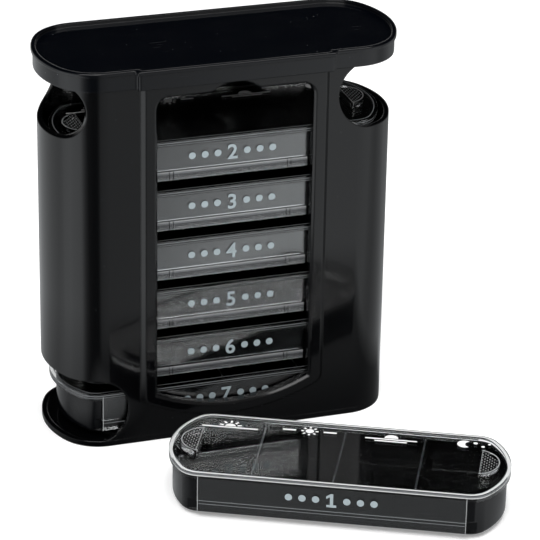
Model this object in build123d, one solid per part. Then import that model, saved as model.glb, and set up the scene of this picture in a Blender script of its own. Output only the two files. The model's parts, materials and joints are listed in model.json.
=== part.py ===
from build123d import *
import math
import os

os.makedirs("parts", exist_ok=True)

# A weekly pill organizer: a tower that holds a stack of trays, and one tray taken out in front of it.
# Millimetres, +Z up, the front faces -Y. The origin is the centre of the tower's footprint on the table.

# Tower, seen from above: straight sides, a wide arc at each end and a tighter arc between them
TOWER_LENGTH = 120.0
TOWER_DEPTH = 46.0
TOWER_END_RADIUS = 32.0
TOWER_CORNER_RADIUS = 15.0
SLEEVE_WALL = 1.8
SLEEVE_HEIGHT = 127.0

# Raised panel on the front, with the window in it
PANEL_WIDTH = 64.4
PANEL_PROUD = 1.8
PANEL_BEVEL = 1.4
PANEL_CORNER = 4.0
WINDOW_WIDTH = 53.4
WINDOW_TOP_GAP = 3.8
WINDOW_SIDE_FOOT = 15.9
WINDOW_SAG = 6.2
WINDOW_CORNER = 4.0
WINDOW_BEVEL = 0.8
WINDOW_MARGIN = 4.9
THUMB_WIDTH = 16.0
THUMB_RISE = 2.9
THUMB_EASE = 3.0

# Round openings at the ends of the sleeve
ENTRY_RADIUS = 12.0
ENTRY_FROM_END = 12.2
ENTRY_BELOW_TOP = 10.3
NOTCH_RADIUS = 10.7
NOTCH_FROM_END = -0.4
NOTCH_BELOW_TOP = 8.0
EXIT_RADIUS = 11.5
EXIT_FROM_END = 12.3
EXIT_ABOVE_BASE = 11.1

# Base plate with a dished rim and the bed that the lowest tray lies on
RIM_HEIGHT = 2.0
PLATE_THICKNESS = 1.2
BED_HEIGHT = 2.4
BED_LENGTH = 96.0
BED_END_RADIUS = 27.0
BED_CORNER_RADIUS = 9.0
BED_WALL = 1.6
BED_ROOF = 1.2
LOCATOR_RISE = 1.0
LOCATOR_LENGTH = 64.0
BED_RIB = 1.6
BED_RIB_PITCH = 23.0
BED_CROSS_RIBS = 3

# Top cap: a band, a thin lip and a shallow dish
CAP_BAND = 5.3
CAP_LIP_HEIGHT = 1.3
CAP_OVERHANG = 1.1
CAP_LIP_PROUD = 0.6
CAP_LIP_WIDTH = 1.6
CAP_DISH = 1.2
CAP_ROOF = 2.4
CAP_STEP_ROUND = 0.8
CAP_EDGE_ROUND = 0.4
TAB_WIDTH = 5.0
TAB_THICKNESS = 1.2
TAB_REACH = 2.2
FRONT_TAB_X = 31.0
REAR_TAB_X = 28.0

# Trays
TRAY_COUNT = 7
STACK_PITCH = 17.9
LID_END_RADIUS = 29.0
LID_CORNER_RADIUS = 8.0
LID_OVERHANG = 1.2
LID_BAND = 2.2
LID_LIP = 1.4
LID_DISH = 0.6
TUB_TOP = 14.1
TUB_WALL = 1.8
TUB_FLOOR = 1.6
TUB_EDGE_ROUND = 0.8
FOOT_HEIGHT = 1.4
FOOT_INSET = 5.0
FOOT_WIDTH = 1.6
COMPARTMENTS = 4
DIVIDER = 1.2
APRON_FOOT = 2.5
APRON_THICKNESS = 1.0
HOOK_HEIGHT = 3.4
HOOK_REACH = 0.8
GRIP_RADIUS = 8.6
GRIP_FLAT_FROM_END = 10.1
GRIP_CURVE_FROM_END = 3.6
GRIP_LIP = 1.2
GRIP_FIELD_DROP = 0.3

# Where the tray in front of the tower stands
FRONT_TRAY_X = 19.5
FRONT_TRAY_Y = -78.5
FRONT_TRAY_TURN = -26.3

# How far the lowest tray's lid is slid out at rest
LOWEST_LID_SLID = 1.2

# Clearances
TRAY_SIDE_GAP = 0.5
TRAY_END_GAP = 2.1
SNAP_GAP = 0.2
RUNNING_GAP = 0.1
HOOK_GAP = 0.2
CUT_PAST = 10.0

# Heights that follow
sleeve_foot = RIM_HEIGHT
sleeve_top = sleeve_foot + SLEEVE_HEIGHT
front_wall = -TOWER_DEPTH / 2
panel_face = front_wall - PANEL_PROUD
inner_depth = TOWER_DEPTH - 2 * SLEEVE_WALL
inner_length = TOWER_LENGTH - 2 * SLEEVE_WALL
lid_width = inner_depth - 2 * TRAY_SIDE_GAP
lid_length = inner_length - 2 * TRAY_END_GAP
lid_foot = TUB_TOP + RUNNING_GAP
lid_top = lid_foot + LID_BAND
lid_plate = lid_top - LID_DISH
tub_depth = lid_width - 2 * LID_OVERHANG
tub_length = lid_length - 2 * LID_OVERHANG
compartment_pitch = (tub_length - TUB_WALL) / COMPARTMENTS


def end_outline(length, depth, corner, end):
    """Plan outline: two straight sides, a wide arc at each end and a tighter arc joining them."""
    drop = depth / 2 - corner
    reach = math.sqrt((end - corner) ** 2 - drop**2)
    end_centre = length / 2 - end
    corner_centre = end_centre + reach
    lean = math.atan2(drop, reach)
    middle = (lean + math.pi / 2) / 2
    meet_x = end_centre + end * math.cos(lean)
    meet_y = end * math.sin(lean)
    middle_x = corner_centre + corner * math.cos(middle)
    middle_y = drop + corner * math.sin(middle)
    right = [
        ThreePointArc((corner_centre, depth / 2), (middle_x, middle_y), (meet_x, meet_y)),
        ThreePointArc((meet_x, meet_y), (length / 2, 0), (meet_x, -meet_y)),
        ThreePointArc((meet_x, -meet_y), (middle_x, -middle_y), (corner_centre, -depth / 2)),
    ]
    left = [edge.mirror(Plane.YZ) for edge in right]
    sides = [Line((-corner_centre, y), (corner_centre, y)) for y in (depth / 2, -depth / 2)]
    return make_face(right + left + sides)


def straight_half(length, depth, corner, end):
    """Half the length of the outline's straight side."""
    drop = depth / 2 - corner
    return length / 2 - end + math.sqrt((end - corner) ** 2 - drop**2)


def tower_plan(grow=0.0):
    """The tower's outline, moved out by grow all round."""
    return end_outline(
        TOWER_LENGTH + 2 * grow,
        TOWER_DEPTH + 2 * grow,
        TOWER_CORNER_RADIUS + grow,
        TOWER_END_RADIUS + grow,
    )


def lid_plan(grow=0.0):
    """A tray lid's outline, moved out by grow all round."""
    return end_outline(
        lid_length + 2 * grow,
        lid_width + 2 * grow,
        LID_CORNER_RADIUS + grow,
        LID_END_RADIUS + grow,
    )


def bed_plan(grow=0.0):
    """The bed's outline: it locates the sleeve between its straight sides."""
    return end_outline(
        BED_LENGTH + 2 * grow,
        inner_depth - 2 * SNAP_GAP + 2 * grow,
        BED_CORNER_RADIUS + grow,
        BED_END_RADIUS + grow,
    )


def prism(face, low, high):
    """The face, drawn on the ground plane, raised from one height to another."""
    return extrude(Pos(0, 0, low) * face, high - low)


def block(low, high):
    """A box between two opposite corners."""
    size = [b - a for a, b in zip(low, high)]
    centre = [(a + b) / 2 for a, b in zip(low, high)]
    return Pos(*centre) * Box(*size)


def front_cut(face, low_y, high_y):
    """A face drawn as X and Z, made solid from low_y to high_y."""
    turned = Plane.XZ * face
    return extrude(Pos(0, high_y, 0) * turned, high_y - low_y)


def round_cut(x, z, radius):
    """A round cutter through the whole depth of the sleeve."""
    reach = TOWER_DEPTH / 2 + CUT_PAST
    return front_cut(Pos(x, z) * Circle(radius), -reach, reach)


def window_sill(grow):
    """Centre height and radius of the window's arched sill, moved down by grow."""
    half = WINDOW_WIDTH / 2
    radius = (half**2 + WINDOW_SAG**2) / (2 * WINDOW_SAG)
    centre = sleeve_foot + WINDOW_SIDE_FOOT - WINDOW_SAG + radius
    return centre, radius + grow


def sill_height(x, grow):
    """Height of the sill's arc at x."""
    centre, radius = window_sill(grow)
    return centre - math.sqrt(radius**2 - x**2)


def window_face():
    """The window's outline, with the thumb arch in its top edge."""
    half = WINDOW_WIDTH / 2
    thumb = THUMB_WIDTH / 2
    top = sleeve_top - WINDOW_TOP_GAP
    foot = sill_height(half, 0)
    edges = [
        ThreePointArc((-half, foot), (0, sill_height(0, 0)), (half, foot)),
        Line((half, foot), (half, top)),
        Line((half, top), (thumb, top)),
        ThreePointArc((thumb, top), (0, top + THUMB_RISE), (-thumb, top)),
        Line((-thumb, top), (-half, top)),
        Line((-half, top), (-half, foot)),
    ]
    face = make_face(edges)
    upper = [v for v in face.vertices() if abs(v.Y - top) < RUNNING_GAP]
    corners = [v for v in upper if abs(v.X) > thumb + RUNNING_GAP]
    face = fillet(corners, WINDOW_CORNER)
    eased = [
        v
        for v in face.vertices()
        if abs(v.Y - top) < RUNNING_GAP and abs(abs(v.X) - thumb) < RUNNING_GAP
    ]
    return fillet(eased, THUMB_EASE)


def panel_face_outline():
    """The raised panel's outline: its lower edge runs parallel to the window's sill."""
    half = PANEL_WIDTH / 2
    foot = sill_height(half, WINDOW_MARGIN)
    edges = [
        ThreePointArc((-half, foot), (0, sill_height(0, WINDOW_MARGIN)), (half, foot)),
        Line((half, foot), (half, sleeve_top)),
        Line((half, sleeve_top), (-half, sleeve_top)),
        Line((-half, sleeve_top), (-half, foot)),
    ]
    face = make_face(edges)
    lower = [v for v in face.vertices() if v.Y < sleeve_top - 1]
    return fillet(lower, PANEL_CORNER)


def front_panel():
    """The raised panel, bevelled at its sides and foot, before the window is cut."""
    panel = front_cut(panel_face_outline(), panel_face, front_wall + SLEEVE_WALL / 2)
    outer = panel.edges().filter_by_position(Axis.Y, panel_face - RUNNING_GAP, panel_face + RUNNING_GAP)
    rim = [e for e in outer if e.center().Z < sleeve_top - RUNNING_GAP]
    return chamfer(rim, PANEL_BEVEL)


def make_sleeve():
    """The sleeve: one shell with the panel, the window and the three end openings."""
    tube = prism(tower_plan(), sleeve_foot, sleeve_top)
    shell = tube + front_panel() - prism(tower_plan(-SLEEVE_WALL), sleeve_foot, sleeve_top)
    shell -= front_cut(window_face(), panel_face - CUT_PAST, front_wall + 2 * SLEEVE_WALL)
    half_window = WINDOW_WIDTH / 2 + RUNNING_GAP
    face_edges = shell.edges().filter_by_position(
        Axis.Y, panel_face - RUNNING_GAP, panel_face + RUNNING_GAP
    )
    sill = sill_height(0, WINDOW_MARGIN / 2)
    window_top = sleeve_top - RUNNING_GAP
    window_rim = [
        e for e in face_edges if abs(e.center().X) < half_window and sill < e.center().Z < window_top
    ]
    shell = chamfer(window_rim, WINDOW_BEVEL)

    end = TOWER_LENGTH / 2
    reach = TOWER_DEPTH / 2 + CUT_PAST
    entry_x = end - ENTRY_FROM_END
    entry_z = sleeve_top - ENTRY_BELOW_TOP
    shell -= round_cut(entry_x, entry_z, ENTRY_RADIUS)
    shell -= block((entry_x, -reach, entry_z - ENTRY_RADIUS), (end + CUT_PAST, reach, sleeve_top))

    notch_z = sleeve_top - NOTCH_BELOW_TOP
    shell -= round_cut(NOTCH_FROM_END - end, notch_z, NOTCH_RADIUS)

    exit_x = EXIT_FROM_END - end
    exit_z = sleeve_foot + EXIT_ABOVE_BASE
    shell -= round_cut(exit_x, exit_z, EXIT_RADIUS)
    shell -= block((-end - CUT_PAST, -reach, sleeve_foot), (exit_x, reach, exit_z + EXIT_RADIUS))
    return shell


def locators():
    """Two low ridges on the bed's straight sides that hold the sleeve in place."""
    outer = inner_depth / 2 - SNAP_GAP
    half = LOCATOR_LENGTH / 2
    top = BED_HEIGHT + LOCATOR_RISE
    front = block((-half, -outer, 0), (half, BED_WALL - outer, top))
    return front + front.mirror(Plane.XZ)


def make_base():
    """The base plate: a dished rim, and a ribbed bed that fits inside the sleeve."""
    base = prism(tower_plan(), 0, RIM_HEIGHT)
    base -= prism(tower_plan(-SLEEVE_WALL), PLATE_THICKNESS, RIM_HEIGHT)
    base += prism(bed_plan(), 0, BED_HEIGHT)
    base += locators()
    pocket = prism(bed_plan(-BED_WALL), 0, BED_HEIGHT - BED_ROOF)
    reach = BED_LENGTH / 2
    pocket -= block((-reach, -BED_RIB / 2, 0), (reach, BED_RIB / 2, BED_HEIGHT))
    for index in range(BED_CROSS_RIBS):
        x = (index - (BED_CROSS_RIBS - 1) / 2) * BED_RIB_PITCH
        pocket -= block((x - BED_RIB / 2, front_wall, 0), (x + BED_RIB / 2, -front_wall, BED_HEIGHT))
    return base - pocket


def cap_plan(grow):
    """The cap's outline: the tower's, with a rounded step out over the front panel."""
    half = PANEL_WIDTH / 2 + grow
    face = tower_plan(grow) + Pos(0, (panel_face - grow) / 2) * Rectangle(2 * half, grow - panel_face)
    step = [v for v in face.vertices() if abs(abs(v.X) - half) < RUNNING_GAP and v.Y < 0]
    return fillet(step, CAP_STEP_ROUND)


def cap_tab(x, side):
    """A tab under the cap that locates it inside the sleeve, on the front (-1) or the rear (1) wall."""
    outer = side * (inner_depth / 2 - SNAP_GAP)
    inner = outer - side * TAB_THICKNESS
    low_y = min(outer, inner)
    high_y = max(outer, inner)
    low = (x - TAB_WIDTH / 2, low_y, sleeve_top - TAB_REACH)
    return block(low, (x + TAB_WIDTH / 2, high_y, sleeve_top + CAP_BAND + CAP_LIP_HEIGHT - CAP_DISH))


def make_cap():
    """The top cap, hollow underneath, with a lip round the shallow dish on top."""
    lip_foot = sleeve_top + CAP_BAND
    top = lip_foot + CAP_LIP_HEIGHT
    dish_floor = top - CAP_DISH
    cap = prism(cap_plan(CAP_OVERHANG), sleeve_top, top)
    lip = prism(cap_plan(CAP_OVERHANG + CAP_LIP_PROUD), lip_foot, top)
    cap += fillet(lip.edges().group_by(Axis.Z)[-1], CAP_EDGE_ROUND)
    cap -= prism(cap_plan(CAP_OVERHANG + CAP_LIP_PROUD - CAP_LIP_WIDTH), dish_floor, top + CUT_PAST)
    cap -= prism(tower_plan(-SLEEVE_WALL), sleeve_top, dish_floor - CAP_ROOF)
    for x in (-FRONT_TAB_X, FRONT_TAB_X):
        cap += cap_tab(x, -1)
    for x in (-REAR_TAB_X, REAR_TAB_X):
        cap += cap_tab(x, 1)
    return cap


def make_tub():
    """An open tub with its compartments, a stacking foot and a groove along each straight side."""
    body = prism(lid_plan(-LID_OVERHANG), FOOT_HEIGHT, TUB_TOP)
    body = fillet(body.edges().group_by(Axis.Z)[0], TUB_EDGE_ROUND)
    foot_grow = -LID_OVERHANG - FOOT_INSET
    foot = prism(lid_plan(foot_grow), 0, FOOT_HEIGHT) - prism(lid_plan(foot_grow - FOOT_WIDTH), 0, FOOT_HEIGHT)
    floor_top = FOOT_HEIGHT + TUB_FLOOR
    cavity = prism(lid_plan(-LID_OVERHANG - TUB_WALL), floor_top, TUB_TOP)
    for index in range(1, COMPARTMENTS):
        x = (index - COMPARTMENTS / 2) * compartment_pitch
        cavity -= block((x - DIVIDER / 2, -tub_depth, floor_top), (x + DIVIDER / 2, tub_depth, TUB_TOP))
    tub = body + foot - cavity
    groove_floor = tub_depth / 2 - HOOK_REACH
    for side in (-1, 1):
        ends = sorted((side * groove_floor, side * tub_depth))
        low = (-lid_length / 2, ends[0], APRON_FOOT - HOOK_GAP)
        tub -= block(low, (lid_length / 2, ends[1], APRON_FOOT + HOOK_HEIGHT + HOOK_GAP))
    return tub


def grip(side):
    """A half-moon grip near one end of the lid; the tray above stands on its raised edge."""
    flat = lid_length / 2 - GRIP_FLAT_FROM_END
    centre = lid_length / 2 - GRIP_CURVE_FROM_END - GRIP_RADIUS
    moon = Pos(side * centre, 0) * Circle(GRIP_RADIUS)
    field = Pos(side * centre, 0) * Circle(GRIP_RADIUS - GRIP_LIP)
    keep = Pos(side * (flat + GRIP_RADIUS), 0) * Rectangle(2 * GRIP_RADIUS, 4 * GRIP_RADIUS)
    moon = moon & keep
    top = prism(moon, lid_plate, STACK_PITCH)
    return top - prism(field, STACK_PITCH - GRIP_FIELD_DROP, STACK_PITCH)


def make_lid():
    """A clear sliding lid: a lipped plate, an apron down each straight side, and two grips."""
    lid = prism(lid_plan(), lid_foot, lid_top) - prism(lid_plan(-LID_LIP), lid_plate, lid_top)
    half = straight_half(lid_length, lid_width, LID_CORNER_RADIUS, LID_END_RADIUS)
    outer = lid_width / 2
    inner = outer - APRON_THICKNESS
    for side in (-1, 1):
        apron = sorted((side * inner, side * outer))
        lid += block((-half, apron[0], APRON_FOOT), (half, apron[1], lid_foot))
        hook = sorted((side * (tub_depth / 2 - HOOK_REACH + HOOK_GAP), side * inner))
        lid += block((-half, hook[0], APRON_FOOT), (half, hook[1], APRON_FOOT + HOOK_HEIGHT))
        lid += grip(side)
    return lid


def tray_place(number):
    """Where a tray stands: number 1 in front of the tower, number 2 on top of the stack."""
    if number == 1:
        return Pos(FRONT_TRAY_X, FRONT_TRAY_Y, 0) * Rot(0, 0, FRONT_TRAY_TURN)
    return Pos(0, 0, BED_HEIGHT + (TRAY_COUNT - number) * STACK_PITCH)


def write(shape, name):
    """Write one piece as parts/NAME.step."""
    export_step(shape, "parts/" + name + ".step")


write(make_sleeve(), "sleeve")
write(make_base(), "base_plate")
write(make_cap(), "top_cap")
tub = make_tub()
lid = make_lid()
for number in range(1, TRAY_COUNT + 1):
    write(tray_place(number) * tub, "tray_" + str(number))
    slid = LOWEST_LID_SLID if number == TRAY_COUNT else 0.0
    write(tray_place(number) * Pos(-slid, 0, 0) * lid, "lid_" + str(number))
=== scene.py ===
"""Looks for the weekly pill organizer: finishes, printed marks, grip teeth, studio and camera."""

import json
import math

import bmesh
import bpy
from mathutils import Matrix, Vector


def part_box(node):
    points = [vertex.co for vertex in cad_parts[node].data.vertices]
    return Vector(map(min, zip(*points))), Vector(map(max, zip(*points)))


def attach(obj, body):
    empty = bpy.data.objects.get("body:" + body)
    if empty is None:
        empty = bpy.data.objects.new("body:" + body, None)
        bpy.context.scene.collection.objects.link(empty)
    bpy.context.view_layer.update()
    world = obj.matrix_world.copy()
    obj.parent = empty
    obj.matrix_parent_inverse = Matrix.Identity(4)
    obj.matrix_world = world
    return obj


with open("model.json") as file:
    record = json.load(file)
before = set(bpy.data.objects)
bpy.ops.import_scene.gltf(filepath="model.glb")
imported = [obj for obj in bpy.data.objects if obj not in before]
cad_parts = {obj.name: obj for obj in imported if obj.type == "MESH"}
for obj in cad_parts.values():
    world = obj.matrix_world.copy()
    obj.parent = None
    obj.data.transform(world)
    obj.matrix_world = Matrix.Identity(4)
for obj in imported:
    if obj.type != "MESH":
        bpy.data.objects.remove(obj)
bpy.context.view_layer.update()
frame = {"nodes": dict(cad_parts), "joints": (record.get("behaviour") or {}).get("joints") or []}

MM = 0.001
TRAYS = range(1, 8)
FRONT_TRAY = 1
LOWEST_TRAY = 7

# Camera, as fitted to the photograph
CAMERA_YAW = math.radians(18.435)
CAMERA_PITCH = math.radians(25.046)
CAMERA_ROLL = math.radians(1.038)
CAMERA_DISTANCE = 1015.03 * MM
CAMERA_AIM = Vector((0, 0, 70 * MM))
CAMERA_SHIFT_RIGHT = 19.52 * MM
CAMERA_SHIFT_UP = -17.82 * MM
CAMERA_LENS = 199.32
SENSOR_WIDTH = 36.0
CLIP_NEAR = 0.05
CLIP_FAR = 20.0

# The floor that the camera sees
FLOOR_HALF = 3.0
FLOOR_LEVEL = -0.02 * MM
FLOOR_COLOUR = (0.9, 0.9, 0.9, 1)
FLOOR_ROUGHNESS = 0.9
FLOOR_LIFT = 0.25

# The floor that reflections see: a glowing card with a painted reflection of the table, painted shadow near
# the tower and a painted patch of light. Pairs of lengths are where a shade or a light sets in and is full
FLOOR_GLOW_REACH = 900 * MM
FLOOR_GLOW_LEVEL = 0.15 * MM
FLOOR_GLOW_PEAK = 3.0
FLOOR_GLOW_TINT = (0.95, 0.98, 1.0, 1)
TOWER_CORNER = (-43 * MM, -8 * MM)
TOWER_FRONT = -23 * MM
SHADE_DEPTH_SHARE = 1.2
SHADE_SIDE_SHARE = 0.6
SHADE_SIDE_LIMIT = 60 * MM
SHADE_AHEAD = (35 * MM, 125 * MM)
SHADE_RIGHT = (72 * MM, 105 * MM)
SHADE_BEHIND = (-10 * MM, 10 * MM)
SHADE_LEFT = (-55 * MM, -72 * MM)
SHADE_LEAST = 0.25
CORNER_SHADE = (-50 * MM, 120 * MM)
CORNER_LEAST = 0.5
LIGHT_GAP = (-50 * MM, -60 * MM)
LIGHT_GAP_EDGE = (36 * MM, 14 * MM)
LIGHT_GAP_GLOW = 0.6
# Painted brightness of the reflected floor round the tower's left corner: degrees from straight ahead, right
# positive
FLOOR_GLOW = (
    (-180, 0.45), (-170, 0.6), (-155, 0.68), (-128, 0.8), (-114, 0.92), (-98, 1.65), (-83, 2.1),
    (-69, 2.1), (-60, 2.1), (-52, 1.95), (-46, 1.1), (-40, 0.5), (-31, 0.16), (-23, 0.1), (-12, 0.1),
    (-8, 0.3), (-4, 0.6), (8, 0.74), (18, 0.8), (30, 1.45), (50, 1.55), (60, 1.45), (68, 1.05),
    (75, 0.8), (92, 0.75), (104, 0.65), (113, 0.4), (130, 0.22), (180, 0.45),
)

# Slats in front of the loose tray: dim cards that only reflections see, a painted dark reflection
SLAT_PITCH = 2.5 * MM
SLAT_LENGTH = 9.0 * MM
SLAT_HEIGHT = 14.0 * MM
SLAT_AHEAD = 0.4 * MM
SLAT_FOOT = 0.2 * MM
SLAT_GLOW = 0.3

# How deep in mirrors a ray has to be to see a card, or the wall and the ceiling
MIRRORED_ONCE = 0.5
MIRRORED_TWICE = 1.5

# The room, by how far a direction points up or to the back. Pairs are where a light sets in and is full
ROOM_LOW = (0.3, 0.06)
ROOM_FRONT = (0.2, -0.5)
ROOM_FRONT_SHARE = 0.7
ROOM_GLOW = 0.75
ROOM_LEAST = 0.004
WALL_FOOT = (0.1, 0.2)
WALL_TOP = (0.62, 0.56)
WALL_FRONT = (-0.45, -0.6)
WALL_GLOW = 5.2
CEILING_EDGE = (0.72, 0.85)
CEILING_GLOW = 3.5
DIFFUSE_LIGHT = 0.55

# Softboxes: name, place and side in metres, and power in watts
LAMP_AIM = (0, 0, 0.05)
SOFTBOXES = (
    ("key_softbox", (-0.35, -0.55, 0.95), 0.7, 9.0),
    ("top_softbox", (0.25, 0.05, 1.1), 0.6, 6.0),
)

# Printed marks and grip teeth, in a tray's own frame
GRIP_RISE = 2.1 * MM
GRIP_FIELD_DROP = 0.3 * MM
GRIP_RADIUS = 8.6 * MM
GRIP_LIP = 1.2 * MM
GRIP_FLAT_FROM_END = 10.1 * MM
GRIP_CURVE_FROM_END = 3.6 * MM
TOOTH_COLUMN = 0.8 * MM
TOOTH_ROW = 1.8 * MM
TOOTH_WIDTH = 0.5 * MM
TOOTH_LENGTH = 1.1 * MM
TOOTH_HEIGHT = 0.26 * MM
INK = 0.03 * MM
LABEL_MIDDLE = 10.45 * MM
NUMERAL_SIZE = 7.2 * MM
NUMERAL_BOLD = 0.15 * MM
LABEL_DOTS = 3
DOT_PITCH = 4.4 * MM
DOT_START = 0.15
DOT_RADIUS = 1.2 * MM
TIME_ROW = 15.1 * MM
TIME_PLACES = (-38.3 * MM, -11.8 * MM, 15.4 * MM, 39.6 * MM)
ARC_STEPS = 24

# A lid's outline and the edges that catch light, where highlights are painted, in a tray's own frame; without
# MM it is millimetres
LID_END_RADIUS = 29.0 * MM
LID_CORNER_RADIUS = 8.0 * MM
LIP_TOP = 16.4 * MM
OUTLINE_STEPS = 8
FILM = 0.02 * MM
OPEN_LIP_LINE = (0.35, 1.15)
OPEN_FACE_LINE = (0.7, 1.05)
OPEN_FACE_BAND = (0.05, 0.7)
STACK_LIP_LINE = (1.05, 1.35)
STACK_FACE_LINES = ((0.55, 0.9), (1.35, 1.6))
WINDOW_HALF = 26.0 * MM
APRON_FOOT = 2.5 * MM
APRON_HEAD = 1.1 * MM
APRON_LINE_END = 0.6 * MM
APRON_END_IN = 0.3 * MM
APRON_END_WIDTH = 0.26 * MM
LEDGE = 5.4 * MM
LEDGE_WIDTH = 0.4 * MM
OPEN_LEDGES = ((5.25, 0.25),)
STACK_LEDGES = ((4.9, 0.5), (2.8, 0.25))
STACK_STRIPS = ((4.35, 0.45), (3.75, 0.4), (3.2, 0.3))
GATE_PLACES = (-0.5, -0.47, 0.44, 0.47)
GATE_FOOT = 0.1 * MM
GATE_ABOVE_LEDGE = 0.4 * MM
GATE_WIDTH = 0.22 * MM
TUB_TOP = 14.1 * MM
DIVIDER_PITCH = 26.6 * MM
DIVIDER_HALF = 17.2 * MM
DIVIDER_LINE = 0.6 * MM
GRIP_LINE_IN = 0.15 * MM
GRIP_LINE_WIDTH = 0.4 * MM
GRIP_CHORD_IN = 0.2 * MM
GRIP_CHORD_WIDTH = 0.16 * MM
GRIP_LINE_PROUD = 0.005 * MM

# Colours, linear
BLACK_PLASTIC = (0.001, 0.0011, 0.0014, 1)
BLACK_CAP = (0.0006, 0.001, 0.002, 1)
BLACK_TUB = (0.0012, 0.0014, 0.002, 1)
# Painted highlights for edges that catch light: the brightest for the loose tray's rim, grey and faint ones
# for edges in the tower's shade
HIGHLIGHT_BRIGHT = (0.6, 0.61, 0.61, 1)
HIGHLIGHT_PALE = (0.3, 0.31, 0.315, 1)
HIGHLIGHT_GREY = (0.14, 0.148, 0.155, 1)
HIGHLIGHT_FAINT = (0.055, 0.058, 0.062, 1)
DUST = (0.16, 0.17, 0.18, 1)
CLEAR = (0.93, 0.95, 0.955, 1)
WHITE_INK = (0.86, 0.86, 0.86, 1)
LABEL_INK = (0.35, 0.415, 0.44, 1)
BLACK_IOR = 1.35
CLEAR_IOR = 1.57

# Moulded skin: features per metre, and the pattern values where a feature sets in and is full
HAIRS = (((0.4, 0.2, 0.5), (90, 2600, 2600)), ((0.1, 0.7, -0.9), (120, 2200, 2200)))
HAIR_EDGE = (0.7, 0.76)
HAIR_ROUGHNESS = 0.25
HAIR_DEPTH = 0.25
WORN_SCALE = 55.0
WORN_EDGE = (0.5, 0.68)
DUST_SCALE = 420.0
DUST_EDGE = (0.075, 0.045)
DUST_ROUGHNESS = 0.5
DUSTY_SCALE = 160.0
DUSTY_EDGE = (0.56, 0.62)
CLOUD_SCALE = 90.0
RIPPLE_SCALE = 150.0
BUMP_STRENGTH = 0.5
BUMP_DEPTH = 0.05 * MM
BEVEL_SAMPLES = 6
INK_GRAIN_SCALE = 1500.0
INK_GRAIN_EDGE = (0.45, 0.75)
INK_THIN = 0.86


def socket(tree, kind, name, in_out, value=None):
    """Add a named socket to a node group."""
    made = tree.interface.new_socket(name=name, in_out=in_out, socket_type=kind)
    if value is not None:
        made.default_value = value
    return made


def add_node(tree, kind, **values):
    """Add a node, with its properties, or its inputs by name, set."""
    node = tree.nodes.new(kind)
    for key, value in values.items():
        if hasattr(node, key):
            setattr(node, key, value)
        else:
            node.inputs[key.replace("_", " ").title()].default_value = value
    return node


def math_node(tree, operation, first, second=None, clamp=False, third=None):
    """A Math node of up to three values or sockets; returns its output."""
    node = tree.nodes.new("ShaderNodeMath")
    node.operation = operation
    node.use_clamp = clamp
    for index, value in enumerate((first, second, third)):
        if value is None:
            continue
        if isinstance(value, (int, float)):
            node.inputs[index].default_value = value
        else:
            tree.links.new(value, node.inputs[index])
    return node.outputs[0]


def distance(tree, across, along):
    """How far a point is from a centre, from its two offsets."""
    square = math_node(tree, "MULTIPLY", along, along)
    return math_node(tree, "SQRT", math_node(tree, "MULTIPLY_ADD", across, across, third=square))


def ramp(tree, value, low, high):
    """Map a value to 0 below low and 1 above high."""
    node = tree.nodes.new("ShaderNodeMapRange")
    node.inputs["From Min"].default_value = low
    node.inputs["From Max"].default_value = high
    tree.links.new(value, node.inputs["Value"])
    return node.outputs["Result"]


def noise(tree, vector, scale, detail=2.0):
    """A noise value at a scale given in features per metre."""
    node = add_node(tree, "ShaderNodeTexNoise", scale=scale, detail=detail)
    tree.links.new(vector, node.inputs["Vector"])
    return node.outputs["Fac"]


def stretched(tree, vector, turn, stretch):
    """The vector turned about all axes and squeezed along one, for hairline scratches."""
    node = tree.nodes.new("ShaderNodeMapping")
    node.inputs["Rotation"].default_value = turn
    node.inputs["Scale"].default_value = stretch
    tree.links.new(vector, node.inputs["Vector"])
    return node.outputs["Vector"]


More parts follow.
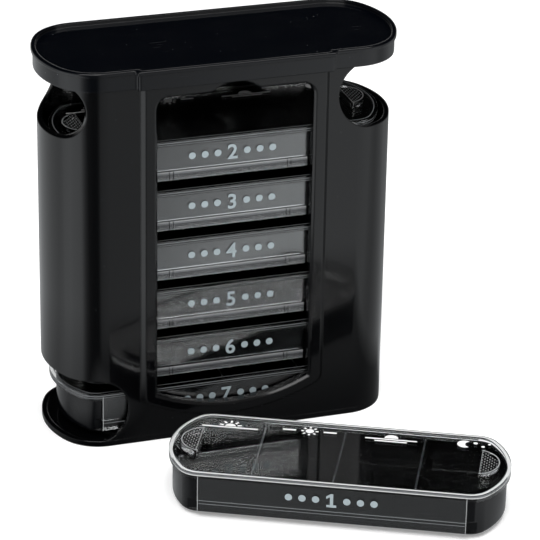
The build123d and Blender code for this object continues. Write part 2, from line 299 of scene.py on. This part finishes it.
def moulded_skin_group():
    """Gloss of moulded plastic: soft ripple, uneven polish, hairline scratches and specks of dust."""
    tree = bpy.data.node_groups.new("moulded_skin", "ShaderNodeTree")
    socket(tree, "NodeSocketFloat", "Polish", "INPUT", 0.1)
    socket(tree, "NodeSocketFloat", "Unevenness", "INPUT", 0.06)
    socket(tree, "NodeSocketFloat", "Scratches", "INPUT", 0.3)
    socket(tree, "NodeSocketFloat", "Dust", "INPUT", 0.3)
    socket(tree, "NodeSocketFloat", "Ripple", "INPUT", 0.2)
    socket(tree, "NodeSocketFloat", "Roughness", "OUTPUT")
    socket(tree, "NodeSocketFloat", "Dust Mask", "OUTPUT")
    socket(tree, "NodeSocketFloat", "Height", "OUTPUT")
    given = tree.nodes.new("NodeGroupInput").outputs
    place = tree.nodes.new("ShaderNodeTexCoord").outputs["Object"]

    hairs = []
    for turn, stretch in HAIRS:
        line = noise(tree, stretched(tree, place, turn, stretch), 1.0, 1.0)
        hairs.append(ramp(tree, line, *HAIR_EDGE))
    worn = ramp(tree, noise(tree, place, WORN_SCALE), *WORN_EDGE)
    hair = math_node(tree, "MULTIPLY", math_node(tree, "MAXIMUM", hairs[0], hairs[1]), worn)
    hair = math_node(tree, "MULTIPLY", hair, given["Scratches"])

    cells = add_node(tree, "ShaderNodeTexVoronoi", scale=DUST_SCALE)
    tree.links.new(place, cells.inputs["Vector"])
    dot = ramp(tree, cells.outputs["Distance"], *DUST_EDGE)
    dusty = ramp(tree, noise(tree, place, DUSTY_SCALE), *DUSTY_EDGE)
    dust = math_node(tree, "MULTIPLY", math_node(tree, "MULTIPLY", dot, dusty), given["Dust"])

    cloud = math_node(tree, "MULTIPLY", noise(tree, place, CLOUD_SCALE, 4.0), given["Unevenness"])
    rough = math_node(tree, "ADD", given["Polish"], cloud)
    rough = math_node(tree, "ADD", rough, math_node(tree, "MULTIPLY", hair, HAIR_ROUGHNESS))
    rough = math_node(tree, "ADD", rough, math_node(tree, "MULTIPLY", dust, DUST_ROUGHNESS), True)

    wave = math_node(tree, "MULTIPLY", noise(tree, place, RIPPLE_SCALE, 1.0), given["Ripple"])
    height = math_node(tree, "SUBTRACT", wave, math_node(tree, "MULTIPLY", hair, HAIR_DEPTH))

    out = tree.nodes.new("NodeGroupOutput").inputs
    tree.links.new(rough, out["Roughness"])
    tree.links.new(dust, out["Dust Mask"])
    tree.links.new(height, out["Height"])
    return tree


def new_material(name):
    """An empty material with a Principled surface; returns it with its tree and shader."""
    material = bpy.data.materials.new(name)
    material.use_nodes = True
    tree = material.node_tree
    tree.nodes.clear()
    shader = tree.nodes.new("ShaderNodeBsdfPrincipled")
    output = tree.nodes.new("ShaderNodeOutputMaterial")
    tree.links.new(shader.outputs["BSDF"], output.inputs["Surface"])
    return material, tree, shader


def skin(tree, shader, soft_edge=0.0, **values):
    """Place the moulded skin in a material, feeding roughness and bump; returns its node."""
    node = tree.nodes.new("ShaderNodeGroup")
    node.node_tree = moulded_skin
    for key, value in values.items():
        node.inputs[key.title()].default_value = value
    tree.links.new(node.outputs["Roughness"], shader.inputs["Roughness"])
    bump = tree.nodes.new("ShaderNodeBump")
    bump.inputs["Strength"].default_value = BUMP_STRENGTH
    bump.inputs["Distance"].default_value = BUMP_DEPTH
    tree.links.new(node.outputs["Height"], bump.inputs["Height"])
    if soft_edge:
        rounded = add_node(tree, "ShaderNodeBevel", samples=BEVEL_SAMPLES)
        rounded.inputs["Radius"].default_value = soft_edge
        tree.links.new(rounded.outputs["Normal"], bump.inputs["Normal"])
    tree.links.new(bump.outputs["Normal"], shader.inputs["Normal"])
    return node


def blend_colours(tree, shader, amount, first, second):
    """Blend two colours into the shader's own. A colour mix takes them at 6 and 7 and returns at 2."""
    mix = add_node(tree, "ShaderNodeMix", data_type="RGBA")
    mix.inputs[6].default_value = first
    mix.inputs[7].default_value = second
    tree.links.new(amount, mix.inputs[0])
    tree.links.new(mix.outputs[2], shader.inputs["Base Color"])


def black_plastic(name, colour, **values):
    """Glossy black moulded plastic with a little dust."""
    material, tree, shader = new_material(name)
    node = skin(tree, shader, **values)
    shader.inputs["IOR"].default_value = BLACK_IOR
    blend_colours(tree, shader, node.outputs["Dust Mask"], colour, DUST)
    return material


def clear_plastic(name, **values):
    """Water-clear moulded plastic."""
    material, tree, shader = new_material(name)
    skin(tree, shader, **values)
    shader.inputs["Base Color"].default_value = CLEAR
    shader.inputs["Transmission Weight"].default_value = 1.0
    shader.inputs["IOR"].default_value = CLEAR_IOR
    return material


def ink(name, colour):
    """Screen-printed ink, slightly uneven; the same thin finish carries the painted highlights on edges."""
    material, tree, shader = new_material(name)
    skin(tree, shader, polish=0.4, unevenness=0.12, scratches=0.1, dust=0.0, ripple=0.6)
    place = tree.nodes.new("ShaderNodeTexCoord").outputs["Object"]
    grain = ramp(tree, noise(tree, place, INK_GRAIN_SCALE, 3.0), *INK_GRAIN_EDGE)
    blend_colours(tree, shader, grain, colour, tuple(INK_THIN * part for part in colour[:3]) + (1,))
    return material


def dress(node, material):
    """Give a CAD node its finish."""
    node.data.materials.clear()
    node.data.materials.append(material)


def mesh_object(name, mesh_data, material):
    """Link a bmesh as a named object with one material."""
    mesh = bpy.data.meshes.new(name)
    mesh_data.to_mesh(mesh)
    mesh_data.free()
    mesh.materials.append(material)
    made = bpy.data.objects.new(name, mesh)
    bpy.context.scene.collection.objects.link(made)
    return made


def tray_frame(number):
    """Matrix from a tray's own frame, centred on its foot, to the row frame."""
    low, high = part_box(f"lid_{number}")
    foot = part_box(f"tray_{number}")[0].z
    slide = next(j for j in frame["joints"] if j["name"] == f"lid_{number}_slide")
    turn = math.atan2(slide["axis"][1], slide["axis"][0])
    centre = (low + high) / 2
    return Matrix.Translation((centre.x, centre.y, foot)) @ Matrix.Rotation(turn, 4, "Z")


def arc(centre, radius, start, end, steps=ARC_STEPS):
    """Points on an arc, angles in degrees."""
    points = []
    for index in range(steps + 1):
        angle = math.radians(start + (end - start) * index / steps)
        points.append((centre[0] + radius * math.cos(angle), centre[1] + radius * math.sin(angle)))
    return points


def bar(start, end, width):
    """Corners of a straight stroke."""
    first, last = Vector(start), Vector(end)
    along = (last - first).normalized()
    across = Vector((-along.y, along.x)) * width / 2
    corners = (first - across, last - across, last + across, first + across)
    return [tuple(corner) for corner in corners]


def disc(centre, radius):
    """Corners of a filled circle."""
    return arc(centre, radius, 0, 360 - 360 / ARC_STEPS, ARC_STEPS - 1)


def rays(centre, inner, outer, angles, width):
    """Short strokes that point away from a centre."""
    strokes = []
    middle = Vector(centre)
    for angle in angles:
        way = Vector((math.cos(math.radians(angle)), math.sin(math.radians(angle))))
        strokes.append(bar(middle + inner * way, middle + outer * way, width))
    return strokes


def rising_sun(x, y):
    """The day's first mark: half a sun on a horizon, with rays."""
    foot = y - 1.9 * MM
    centre = (x, foot + 0.8 * MM)
    half = 9.4 * MM
    sun = arc(centre, 1.8 * MM, 0, 180)
    line = bar((x - half, foot), (x + half, foot), 0.8 * MM)
    return [sun, line] + rays(centre, 2.4 * MM, 3.8 * MM, (14, 52, 90, 128, 166), 0.75 * MM)


def high_sun(x, y):
    """The second mark: a whole sun with rays all round, between two short dashes."""
    marks = [disc((x, y), 1.4 * MM)] + rays((x, y), 1.9 * MM, 2.9 * MM, range(0, 360, 45), 0.7 * MM)
    for side in (-1, 1):
        marks.append(bar((x + side * 4.6 * MM, y), (x + side * 9.0 * MM, y), 0.9 * MM))
    return marks


def setting_sun(x, y):
    """The third mark: half a sun above two lines that get shorter."""
    foot = y - 0.4 * MM
    marks = [arc((x, foot), 2.3 * MM, 0, 180)]
    for index, half in enumerate((8.6, 5.4)):
        level = foot - (0.8 + 1.35 * index) * MM
        marks.append(bar((x - half * MM, level), (x + half * MM, level), 0.75 * MM))
    return marks


def moon(x, y):
    """The last mark: a crescent moon, and dots for stars."""
    size = 2.4 * MM
    outer = arc((x, y), size, 50, 310)
    mouth = math.radians(50)
    reach = size * math.cos(mouth)
    rise = size * math.sin(mouth)
    centre = (x + reach + 0.62 * MM, y)
    radius = math.hypot(reach - (centre[0] - x), rise)
    lean = math.degrees(math.atan2(rise, x + reach - centre[0]))
    inner = arc(centre, radius, 360 - lean, lean)
    stars = ((3.6, 1.1, 0.7), (6.2, -0.9, 0.6), (8.2, 1.0, 0.5))
    dots = [disc((x + right * MM, y + up * MM), radius * MM) for right, up, radius in stars]
    return [outer + inner[1:-1]] + dots


def flat_marks(name, outlines, to_row, material):
    """Printed marks and painted highlight lines: each outline becomes a thin raised patch of ink or of
    highlight colour.
    """
    data = bmesh.new()
    for outline in outlines:
        lower = [data.verts.new((x, y, 0)) for x, y in outline]
        face = data.faces.new(lower)
        raised = bmesh.ops.extrude_face_region(data, geom=[face])
        moved = [v for v in raised["geom"] if isinstance(v, bmesh.types.BMVert)]
        bmesh.ops.translate(data, verts=moved, vec=(0, 0, INK))
    bmesh.ops.recalc_face_normals(data, faces=data.faces)
    bmesh.ops.transform(data, matrix=to_row, verts=data.verts)
    return mesh_object(name, data, material)


def numeral(number, to_row, material):
    """A plain day numeral, centred on the label."""
    curve = bpy.data.curves.new("numeral", "FONT")
    curve.body = str(number)
    curve.size = NUMERAL_SIZE
    curve.offset = NUMERAL_BOLD
    curve.extrude = INK / 2
    curve.align_x = "CENTER"
    curve.align_y = "CENTER"
    drawn = bpy.data.objects.new("numeral", curve)
    bpy.context.scene.collection.objects.link(drawn)
    bpy.context.view_layer.update()
    mesh = bpy.data.meshes.new_from_object(drawn)
    bpy.data.objects.remove(drawn)
    data = bmesh.new()
    data.from_mesh(mesh)
    bpy.data.meshes.remove(mesh)
    xs = [v.co.x for v in data.verts]
    ys = [v.co.y for v in data.verts]
    centre = Vector(((min(xs) + max(xs)) / 2, (min(ys) + max(ys)) / 2, 0))
    shift = Matrix.Translation(Vector((0, 0, INK / 2)) - centre)
    bmesh.ops.transform(data, matrix=to_row @ shift, verts=data.verts)
    return mesh_object(f"numeral_{number}", data, material)


def figure_one():
    """The outline of a figure one with a flag and a foot."""
    points = (
        (-1.5, -2.45), (1.7, -2.45), (1.7, -1.6), (0.65, -1.6), (0.65, 2.45), (-0.25, 2.45), (-1.6, 1.5),
        (-1.6, 0.55), (-0.4, 1.25), (-0.4, -1.6), (-1.5, -1.6),
    )
    return [(x * MM, z * MM) for x, z in points]


def to_apron(place, half_width, level):
    """Matrix that lays flat marks on the apron at a height."""
    lift = Matrix.Translation((0, -half_width, level))
    return place @ lift @ Matrix.Rotation(math.pi / 2, 4, "X")


def label(number, place, half_width, material):
    """The day's mark on the apron: its numeral between two rows of dots."""
    to_row = to_apron(place, half_width, LABEL_MIDDLE)
    marks = []
    for step in range(1, LABEL_DOTS + 1):
        reach = (step + DOT_START) * DOT_PITCH
        marks += [disc((-reach, 0), DOT_RADIUS), disc((reach, 0), DOT_RADIUS)]
    if number == FRONT_TRAY:
        return [flat_marks(f"label_{number}", marks + [figure_one()], to_row, material)]
    dots = flat_marks(f"label_{number}", marks, to_row, material)
    return [dots, numeral(number, to_row, material)]


def time_marks(number, place, plate, material):
    """The four times of day, printed along the back of the lid's plate."""
    to_row = place @ Matrix.Translation((0, 0, plate))
    outlines = []
    for draw, x in zip((rising_sun, high_sun, setting_sun, moon), TIME_PLACES):
        outlines += draw(x, TIME_ROW)
    return flat_marks(f"time_marks_{number}", outlines, to_row, material)


def grip_teeth(number, place, half_length, pad_top, material):
    """Diamond teeth that fill the field of both grips."""
    data = bmesh.new()
    flat = half_length - GRIP_FLAT_FROM_END
    centre = half_length - GRIP_CURVE_FROM_END - GRIP_RADIUS
    limit = GRIP_RADIUS - GRIP_LIP / 2 - TOOTH_WIDTH / 2
    foot = pad_top - GRIP_FIELD_DROP
    half = TOOTH_WIDTH / 2
    reach = TOOTH_LENGTH / 2
    rows = int(GRIP_RADIUS / TOOTH_ROW) + 1
    columns = int(GRIP_RADIUS / TOOTH_COLUMN) + 1
    for row in range(-rows, rows + 1):
        for column in range(columns):
            x = flat + 2 * half + column * TOOTH_COLUMN
            y = (row + (column % 2) / 2) * TOOTH_ROW
            if math.hypot(x - centre, y) > limit:
                continue
            for side in (-1, 1):
                corners = [(x + half, y), (x, y + reach), (x - half, y), (x, y - reach)]
                ring = [data.verts.new((side * a, b, foot)) for a, b in corners]
                tip = data.verts.new((side * x, y, foot + TOOTH_HEIGHT))
                for index in range(4):
                    data.faces.new((ring[index], ring[(index + 1) % 4], tip))
                data.faces.new(ring[::-1])
    bmesh.ops.recalc_face_normals(data, faces=data.faces)
    bmesh.ops.transform(data, matrix=place, verts=data.verts)
    return mesh_object(f"grip_teeth_{number}", data, material)


def lid_outline(length, width, inset):
    """Points round a lid: straight sides, a wide arc at each end and tighter arcs between them."""
    corner = LID_CORNER_RADIUS
    drop = width / 2 - corner
    end_centre = length / 2 - LID_END_RADIUS
    reach = math.sqrt((LID_END_RADIUS - corner) ** 2 - drop**2)
    lean = math.degrees(math.atan2(drop, reach))
    quarter = arc((end_centre, 0), LID_END_RADIUS - inset, 0, lean, OUTLINE_STEPS)
    quarter += arc((end_centre + reach, drop), corner - inset, lean, 90, OUTLINE_STEPS)[1:]
    right = [(x, -y) for x, y in reversed(quarter[1:])] + quarter
    return right + [(-x, -y) for x, y in right]


def hoop(data, length, width, insets, heights):
    """A closed ring between two insets of the lid's outline and two heights."""
    outer, inner = insets
    low, high = heights
    loops = []
    for inset, height in ((outer, low), (outer, high), (inner, high), (inner, low)):
        loops.append([data.verts.new((x, y, height)) for x, y in lid_outline(length, width, inset)])
    count = len(loops[0])
    for index in range(4):
        first, second = loops[index], loops[(index + 1) % 4]
        for step in range(count):
            after = (step + 1) % count
            data.faces.new((first[step], first[after], second[after], second[step]))


def rim_lines(name, place, length, width, material, rings):
    """Lines and bands where light gathers in the rim of a clear lid."""
    data = bmesh.new()
    for insets, heights in rings:
        hoop(data, length, width, insets, heights)
    bmesh.ops.recalc_face_normals(data, faces=data.faces)
    bmesh.ops.transform(data, matrix=place, verts=data.verts)
    return mesh_object(name, data, material)


def lip_ring(outer, inner):
    """A film on top of the lip, between two insets in millimetres."""
    return (outer * MM, inner * MM), (LIP_TOP, LIP_TOP + FILM)


def face_ring(upper, lower):
    """A film on the rim's outer face, between two depths below the lip's top, in millimetres."""
    return (-FILM, 0), (LIP_TOP - lower * MM, LIP_TOP - upper * MM)


def rim_of(number, place, length, width):
    """The rim's lines, painted highlights: bright on the tray that stands in the open, faint on those in the
    tower's shade.
    """
    if number == FRONT_TRAY:
        bright = [lip_ring(*OPEN_LIP_LINE), face_ring(*OPEN_FACE_LINE)]
        band = [face_ring(*OPEN_FACE_BAND)]
        return [
            rim_lines(f"rim_bright_{number}", place, length, width, painted_highlight_bright, bright),
            rim_lines(f"rim_band_{number}", place, length, width, painted_highlight_grey, band),
        ]
    lines = [lip_ring(*STACK_LIP_LINE)] + [face_ring(*line) for line in STACK_FACE_LINES]
    return [rim_lines(f"rim_lines_{number}", place, length, width, painted_highlight_grey, lines)]


def along_apron(strips, start, end):
    """Strokes along the apron, from their heights and widths in millimetres."""
    return [bar((start, height * MM), (end, height * MM), wide * MM) for height, wide in strips]


def apron_lines(number, place, half_width, half_side):
    """Painted highlights on the apron's edges: its two ends and its ledges, with finer painted lines and gate
    marks behind the window.
    """
    made = []
    span = half_side - APRON_LINE_END
    in_window = number not in (FRONT_TRAY, LOWEST_TRAY)
    for side, turn in (("front", 0), ("back", math.pi)):
        shown = WINDOW_HALF if in_window and side == "front" else span
        turned = place @ Matrix.Rotation(turn, 4, "Z")
        to_row = to_apron(turned, half_width, 0)
        ends = []
        for end in (-1, 1):
            x = end * (half_side - APRON_END_IN)
            ends.append(bar((x, APRON_FOOT), (x, LIP_TOP - APRON_HEAD), APRON_END_WIDTH))
        if in_window:
            ends.append(bar((-span, LEDGE), (shown, LEDGE), LEDGE_WIDTH))
        made.append(flat_marks(f"apron_ends_{side}_{number}", ends, to_row, painted_highlight_pale))
        ledges = along_apron(STACK_LEDGES if in_window else OPEN_LEDGES, -span, shown)
        made.append(flat_marks(f"apron_ledges_{side}_{number}", ledges, to_row, painted_highlight_grey))
        if not in_window:
            continue
        fine = along_apron(STACK_STRIPS, -span, shown)
        made.append(flat_marks(f"apron_fine_{side}_{number}", fine, to_row, painted_highlight_faint))
        ticks = []
        for x in (share * span for share in GATE_PLACES):
            ticks.append(bar((x, APRON_FOOT + GATE_FOOT), (x, LEDGE + GATE_ABOVE_LEDGE), GATE_WIDTH))
        to_ticks = to_apron(turned, half_width + INK, 0)
        made.append(flat_marks(f"gate_marks_{side}_{number}", ticks, to_ticks, tub_black))
    return made


def divider_edges(number, place):
    """Painted highlights on the top edges of the tub's three dividers."""
    middles = (-DIVIDER_PITCH, 0, DIVIDER_PITCH)
    strips = [bar((x, -DIVIDER_HALF), (x, DIVIDER_HALF), DIVIDER_LINE) for x in middles]
    to_row = place @ Matrix.Translation((0, 0, TUB_TOP))
    return flat_marks(f"divider_edges_{number}", strips, to_row, painted_highlight_faint)


def grip_lines(number, place, half_length, pad_top, material):
    """Painted highlights on the edge of both half-moon grips: the curved rim and the straight one."""
    flat = half_length - GRIP_FLAT_FROM_END
    centre = half_length - GRIP_CURVE_FROM_END - GRIP_RADIUS
    outer = GRIP_RADIUS - GRIP_LINE_IN
    inner = outer - GRIP_LINE_WIDTH
    lean = math.degrees(math.acos((flat - centre) / outer))
    edge = arc((centre, 0), outer, -lean, lean) + arc((centre, 0), inner, lean, -lean)
    chord = math.sqrt(inner**2 - (flat - centre) ** 2)
    x = flat + GRIP_CHORD_IN
    edges = [edge, bar((x, -chord), (x, chord), GRIP_CHORD_WIDTH)]
    outlines = edges + [[(-x, y) for x, y in outline] for outline in edges]
    to_row = place @ Matrix.Translation((0, 0, pad_top - INK + GRIP_LINE_PROUD))
    return flat_marks(f"grip_lines_{number}", outlines, to_row, material)


def add_camera():
    """The photograph's camera."""
    forward = Vector((
        math.sin(CAMERA_YAW) * math.cos(CAMERA_PITCH),
        math.cos(CAMERA_YAW) * math.cos(CAMERA_PITCH),
        -math.sin(CAMERA_PITCH),
    ))
    level = Vector((math.cos(CAMERA_YAW), -math.sin(CAMERA_YAW), 0))
    upward = level.cross(forward)
    right = level * math.cos(CAMERA_ROLL) + upward * math.sin(CAMERA_ROLL)
    up = upward * math.cos(CAMERA_ROLL) - level * math.sin(CAMERA_ROLL)
    data = bpy.data.cameras.new("camera")
    data.lens = CAMERA_LENS
    data.sensor_width = SENSOR_WIDTH
    data.clip_start = CLIP_NEAR
    data.clip_end = CLIP_FAR
    camera = bpy.data.objects.new("camera", data)
    bpy.context.scene.collection.objects.link(camera)
    camera.matrix_world = Matrix((right, up, -forward)).transposed().to_4x4()
    aside = level * CAMERA_SHIFT_RIGHT + upward * CAMERA_SHIFT_UP
    camera.location = CAMERA_AIM - forward * CAMERA_DISTANCE + aside
    bpy.context.scene.camera = camera


def add_floor():
    """A pale floor that reads white to the camera and keeps the object's shadow."""
    data = bmesh.new()
    bmesh.ops.create_grid(data, x_segments=1, y_segments=1, size=FLOOR_HALF)
    material, tree, shader = new_material("pale_floor")
    shader.inputs["Base Color"].default_value = FLOOR_COLOUR
    shader.inputs["Roughness"].default_value = FLOOR_ROUGHNESS
    shader.inputs["Specular IOR Level"].default_value = 0.0
    shader.inputs["Emission Color"].default_value = (1, 1, 1, 1)
    light_path = tree.nodes.new("ShaderNodeLightPath")
    glow = math_node(tree, "MULTIPLY", light_path.outputs["Is Camera Ray"], FLOOR_LIFT)
    tree.links.new(glow, shader.inputs["Emission Strength"])
    floor = mesh_object("floor", data, material)
    floor.location.z = FLOOR_LEVEL


def reflected_card(name, faces):
    """A glowing card that only reflections see, for a painted reflection; returns its material's tree and its
    emission.
    """
    data = bmesh.new()
    for corners in faces:
        data.faces.new([data.verts.new(corner) for corner in corners])
    material = bpy.data.materials.new(name)
    material.use_nodes = True
    tree = material.node_tree
    tree.nodes.clear()
    glow = tree.nodes.new("ShaderNodeEmission")
    glow.inputs["Color"].default_value = FLOOR_GLOW_TINT
    path = tree.nodes.new("ShaderNodeLightPath").outputs
    mirrored = math_node(tree, "GREATER_THAN", path["Glossy Depth"], MIRRORED_ONCE)
    either = tree.nodes.new("ShaderNodeMixShader")
    tree.links.new(mirrored, either.inputs[0])
    tree.links.new(tree.nodes.new("ShaderNodeBsdfTransparent").outputs["BSDF"], either.inputs[1])
    tree.links.new(glow.outputs["Emission"], either.inputs[2])
    output = tree.nodes.new("ShaderNodeOutputMaterial")
    tree.links.new(either.outputs["Shader"], output.inputs["Surface"])
    material.cycles.emission_sampling = "NONE"
    card = mesh_object(name, data, material)
    card.visible_camera = False
    card.visible_diffuse = False
    card.visible_shadow = False
    card.visible_volume_scatter = False
    return tree, glow


def glow_by_angle(tree, angle):
    """The floor's brightness, looked up in its table by an angle in radians."""
    turn = math_node(tree, "MULTIPLY_ADD", angle, 1 / (2 * math.pi), third=0.5)
    colours = tree.nodes.new("ShaderNodeValToRGB")
    stops = colours.color_ramp.elements
    for index, (degrees, bright) in enumerate(FLOOR_GLOW):
        place = degrees / 360 + 0.5
        # A new ramp comes with two stops
        if index < 2:
            stop = stops[index]
            stop.position = place
        else:
            stop = stops.new(place)
        stop.color = (bright / FLOOR_GLOW_PEAK,) * 3 + (1,)
    tree.links.new(turn, colours.inputs["Fac"])
    return math_node(tree, "MULTIPLY", colours.outputs["Color"], FLOOR_GLOW_PEAK)


def add_floor_glow():
    """Painted reflection of the table: how bright it looks in reflections, uneven round the tower, with
    painted shadow close to its foot.
    """
    reach = FLOOR_GLOW_REACH
    square = ((-reach, -reach), (reach, -reach), (reach, reach), (-reach, reach))
    tree, glow = reflected_card("floor_glow", [[Vector((x, y, FLOOR_GLOW_LEVEL)) for x, y in square]])
    parts = tree.nodes.new("ShaderNodeSeparateXYZ")
    tree.links.new(tree.nodes.new("ShaderNodeTexCoord").outputs["Object"], parts.inputs[0])
    x, y = parts.outputs["X"], parts.outputs["Y"]
    right = math_node(tree, "SUBTRACT", x, TOWER_CORNER[0])
    ahead = math_node(tree, "SUBTRACT", TOWER_CORNER[1], y)
    bright = glow_by_angle(tree, math_node(tree, "ARCTAN2", right, ahead))

    # Painted shadow: the reflected floor is dimmed ahead of the tower's foot and close to its corner, where
    # the tower and the loose tray shade it
    depth = math_node(tree, "MULTIPLY", math_node(tree, "SUBTRACT", TOWER_FRONT, y), SHADE_DEPTH_SHARE)
    side = math_node(tree, "MINIMUM", x, SHADE_SIDE_LIMIT)
    away = math_node(tree, "SUBTRACT", depth, math_node(tree, "MULTIPLY", side, SHADE_SIDE_SHARE))
    foot = math_node(tree, "MAXIMUM", ramp(tree, away, *SHADE_AHEAD), ramp(tree, x, *SHADE_RIGHT))
    beside = math_node(tree, "MAXIMUM", ramp(tree, y, *SHADE_BEHIND), ramp(tree, x, *SHADE_LEFT))
    open_floor = math_node(tree, "MAXIMUM", math_node(tree, "MAXIMUM", foot, beside), SHADE_LEAST)
    from_corner = distance(tree, right, ahead)
    shaded = math_node(tree, "MAXIMUM", ramp(tree, from_corner, *CORNER_SHADE), CORNER_LEAST)
    bright = math_node(tree, "MULTIPLY", math_node(tree, "MULTIPLY", bright, open_floor), shaded)

    # Painted light: a brighter patch of reflected floor by the loose tray's left end
    gap_right = math_node(tree, "SUBTRACT", x, LIGHT_GAP[0])
    gap_ahead = math_node(tree, "SUBTRACT", y, LIGHT_GAP[1])
    gap = ramp(tree, distance(tree, gap_right, gap_ahead), *LIGHT_GAP_EDGE)
    gap = math_node(tree, "MULTIPLY", gap, LIGHT_GAP_GLOW)
    tree.links.new(math_node(tree, "MAXIMUM", bright, gap), glow.inputs["Strength"])


def add_slats(place, half_width, half_side):
    """Upright slats close to the loose tray's front, in line with the tower's reflections: dim cards that
    paint a dark reflection in the tray's apron.
    """
    along = place.inverted().to_3x3() @ Vector((math.sin(CAMERA_YAW), -math.cos(CAMERA_YAW), 0))
    rise = Vector((0, 0, SLAT_HEIGHT))
    faces = []
    x = -half_side
    while x < half_side + SLAT_PITCH:
        near = Vector((x, -half_width - SLAT_AHEAD, SLAT_FOOT))
        far = near + along * SLAT_LENGTH
        faces.append([place @ corner for corner in (near, far, far + rise, near + rise)])
        x += SLAT_PITCH
    glow = reflected_card("slats", faces)[1]
    glow.inputs["Strength"].default_value = SLAT_GLOW


def add_world():
    """White to the camera, dim in a first reflection; a wall and a ceiling glow in what is mirrored twice."""
    world = bpy.data.worlds.new("studio")
    bpy.context.scene.world = world
    world.use_nodes = True
    tree = world.node_tree
    tree.nodes.clear()
    way = tree.nodes.new("ShaderNodeTexCoord").outputs["Generated"]
    parts = tree.nodes.new("ShaderNodeSeparateXYZ")
    tree.links.new(way, parts.inputs[0])
    path = tree.nodes.new("ShaderNodeLightPath").outputs
    up, back = parts.outputs["Z"], parts.outputs["Y"]
    low = ramp(tree, up, *ROOM_LOW)
    front = math_node(tree, "MULTIPLY", ramp(tree, back, *ROOM_FRONT), ROOM_FRONT_SHARE)
    room = math_node(tree, "MULTIPLY", math_node(tree, "MAXIMUM", low, front), ROOM_GLOW)
    room = math_node(tree, "ADD", room, ROOM_LEAST)

    mirrored_twice = math_node(tree, "GREATER_THAN", path["Glossy Depth"], MIRRORED_TWICE)
    wall = math_node(tree, "MULTIPLY", ramp(tree, up, *WALL_FOOT), ramp(tree, up, *WALL_TOP))
    wall = math_node(tree, "MULTIPLY", wall, ramp(tree, back, *WALL_FRONT))
    wall = math_node(tree, "MULTIPLY", math_node(tree, "MULTIPLY", wall, mirrored_twice), WALL_GLOW)
    ceiling = math_node(tree, "MULTIPLY", ramp(tree, up, *CEILING_EDGE), mirrored_twice)
    wall = math_node(tree, "MAXIMUM", wall, math_node(tree, "MULTIPLY", ceiling, CEILING_GLOW))

    soft = math_node(tree, "MULTIPLY", path["Is Diffuse Ray"], DIFFUSE_LIGHT)
    strength = math_node(tree, "MAXIMUM", math_node(tree, "MAXIMUM", room, wall), soft)
    strength = math_node(tree, "MAXIMUM", strength, path["Is Camera Ray"])
    background = tree.nodes.new("ShaderNodeBackground")
    tree.links.new(strength, background.inputs["Strength"])
    output = tree.nodes.new("ShaderNodeOutputWorld")
    tree.links.new(background.outputs["Background"], output.inputs["Surface"])


def add_softbox(name, place, side, power):
    """A large square lamp that points at the tower."""
    data = bpy.data.lights.new(name, "AREA")
    data.shape = "RECTANGLE"
    data.size = side
    data.size_y = side
    data.energy = power
    lamp = bpy.data.objects.new(name, data)
    bpy.context.scene.collection.objects.link(lamp)
    lamp.location = place
    lamp.rotation_euler = (Vector(LAMP_AIM) - Vector(place)).to_track_quat("-Z", "Y").to_euler()


moulded_skin = moulded_skin_group()
tower_black = black_plastic(
    "tower_black", BLACK_PLASTIC, soft_edge=0.7 * MM, polish=0.07, unevenness=0.05, scratches=0.4, dust=0.25,
    ripple=0.25,
)
cap_black = black_plastic(
    "cap_black", BLACK_CAP, soft_edge=0.6 * MM, polish=0.09, unevenness=0.08, scratches=1.0, dust=0.8,
    ripple=0.2,
)
tub_black = black_plastic(
    "tub_black", BLACK_TUB, soft_edge=0.6 * MM, polish=0.1, unevenness=0.06, scratches=0.3, dust=0.2,
    ripple=0.2,
)
clear_lid = clear_plastic("clear_lid", polish=0.015, unevenness=0.02, scratches=0.15, dust=0.0, ripple=0.03)
white_ink = ink("white_ink", WHITE_INK)
label_ink = ink("label_ink", LABEL_INK)
# Materials for the painted highlight films on edges
painted_highlight_bright = ink("painted_highlight_bright", HIGHLIGHT_BRIGHT)
painted_highlight_pale = ink("painted_highlight_pale", HIGHLIGHT_PALE)
painted_highlight_grey = ink("painted_highlight_grey", HIGHLIGHT_GREY)
painted_highlight_faint = ink("painted_highlight_faint", HIGHLIGHT_FAINT)

nodes = frame["nodes"]
dress(nodes["sleeve"], tower_black)
dress(nodes["base_plate"], tower_black)
dress(nodes["top_cap"], cap_black)

# Half sizes of a lid: its length, its width and its straight sides
stack_low, stack_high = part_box("lid_2")
half_length = (stack_high.x - stack_low.x) / 2
half_width = (stack_high.y - stack_low.y) / 2
half_side = half_length - LID_END_RADIUS + math.sqrt(
    (LID_END_RADIUS - LID_CORNER_RADIUS) ** 2 - (half_width - LID_CORNER_RADIUS) ** 2
)
pad_top = stack_high.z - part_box("tray_2")[0].z
for number in TRAYS:
    dress(nodes[f"tray_{number}"], tub_black)
    dress(nodes[f"lid_{number}"], clear_lid)
    place = tray_frame(number)
    printed = label(number, place, half_width, label_ink)
    times = time_marks(number, place, pad_top - GRIP_RISE, white_ink)
    # Grip teeth and grip edges get the pale painted-highlight colour, standing in for light caught on the
    # clear grips
    edges = [grip_teeth(number, place, half_length, pad_top, painted_highlight_pale)]
    edges.append(grip_lines(number, place, half_length, pad_top, painted_highlight_pale))
    edges += rim_of(number, place, 2 * half_length, 2 * half_width)
    edges += apron_lines(number, place, half_width, half_side)
    for piece in printed + [times] + edges:
        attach(piece, f"lid_{number}")
    if number in (FRONT_TRAY, LOWEST_TRAY):
        # Painted highlights on the divider tops of the loose tray and the lowest tray
        dividers = divider_edges(number, place)
        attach(dividers, f"tray_{number}")

add_camera()
add_floor()
add_floor_glow()
add_slats(tray_frame(FRONT_TRAY), half_width, half_side)
add_world()
for softbox in SOFTBOXES:
    add_softbox(*softbox)
bpy.context.scene.view_settings.view_transform = "Standard"
